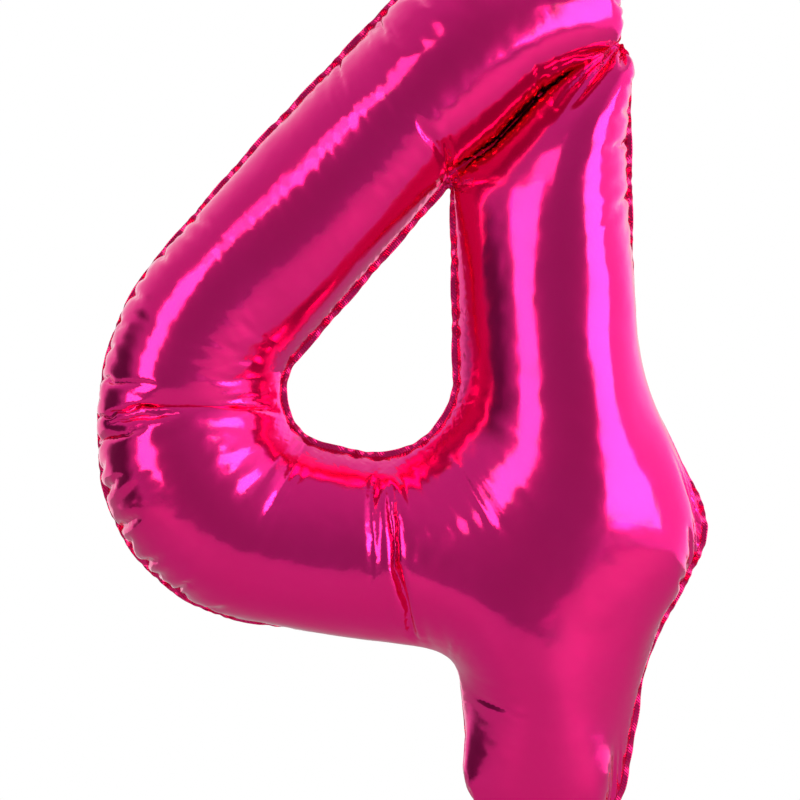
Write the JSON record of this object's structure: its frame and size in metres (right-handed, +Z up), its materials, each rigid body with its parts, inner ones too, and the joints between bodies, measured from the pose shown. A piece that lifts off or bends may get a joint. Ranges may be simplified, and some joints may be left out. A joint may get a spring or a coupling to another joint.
{
  "type": "foil number balloon",
  "caption": "Inflated mirror-foil balloon shaped as the figure four, with a flat welded margin, a film filling valve and punched tabs to hang it by",
  "frame": {"origin": "centre of the hole in the upper hanging tab, which is what the balloon hangs by", "axes": "+Z up, +X to the right of someone who reads the figure, +Y away from them; the figure's front faces -Y and its margin lies in the plane Y = 0"},
  "size_m": [0.6111, 0.2288, 0.9199],
  "materials": {
    "foil": "mirror, metallised film lacquered hot pink",
    "welded_foil": "mirror, heat-welded and slightly crinkled",
    "valve_film": "clear film",
    "release_coat": "matt printed coat"
  },
  "bodies": {
    "envelope": {"front_panel": "foil", "back_panel": "foil", "outer_margin": "welded_foil", "eye_margin": "welded_foil", "valve_front_film": "valve_film", "valve_back_film": "valve_film", "valve_side_welds": "valve_film", "valve_release_coat": "release_coat"},
    "top_tab": {"hang_tab_top": "welded_foil"},
    "foot_tab": {"hang_tab_foot": "welded_foil"},
    "neck": {"neck_front_ply": "foil", "neck_back_ply": "foil", "neck_weld": "welded_foil", "valve_mouth_front": "valve_film", "valve_mouth_back": "valve_film"}
  },
  "joints": [
    {"name": "top_tab_fold", "type": "hinge", "parent": "envelope", "child": "top_tab", "pos_m": [0.00352, 0, -0.00829], "axis": [0.9205, 0, 0.3907], "range_deg": [-90, 90], "stiffness_Nm_per_rad": 0.0001},
    {"name": "foot_tab_fold", "type": "hinge", "parent": "envelope", "child": "foot_tab", "pos_m": [0.16793, 0, -0.8434], "axis": [-0.809, 0, -0.5878], "range_deg": [-90, 90], "stiffness_Nm_per_rad": 0.0001},
    {"name": "neck_fold", "type": "hinge", "parent": "envelope", "child": "neck", "pos_m": [0.11627, 0, -0.86043], "axis": [1, 0, 0], "range_deg": [-90, 90], "stiffness_Nm_per_rad": 0.0002}
  ]
}
